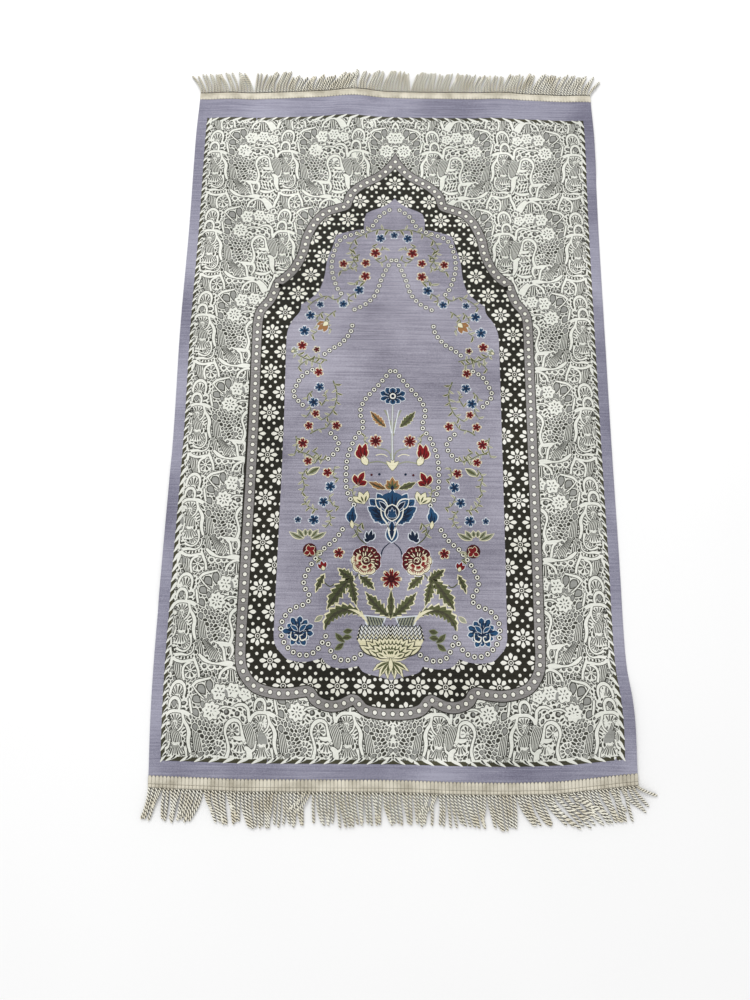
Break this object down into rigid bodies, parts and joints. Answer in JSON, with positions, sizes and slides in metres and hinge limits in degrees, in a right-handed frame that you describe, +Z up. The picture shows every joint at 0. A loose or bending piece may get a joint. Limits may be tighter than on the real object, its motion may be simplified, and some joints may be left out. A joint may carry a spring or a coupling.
{
  "type": "prayer rug",
  "caption": "Flat rectangular prayer rug of woven cloth, with a fringed tape along each short end.",
  "frame": {"origin": "on the floor, under the middle of the cloth", "axes": "+X across the rug, +Y along the rug to the end that the niche points to, +Z up out of the face side"},
  "size_m": [0.7032, 1.2362, 0.0062],
  "materials": {
    "cloth": "flat jacquard weave, matt",
    "fringe": "cream twisted cord on woven tape"
  },
  "bodies": {
    "root": {"rug_cloth": "cloth", "near_fringe": "fringe", "far_fringe": "fringe"}
  },
  "joints": []
}
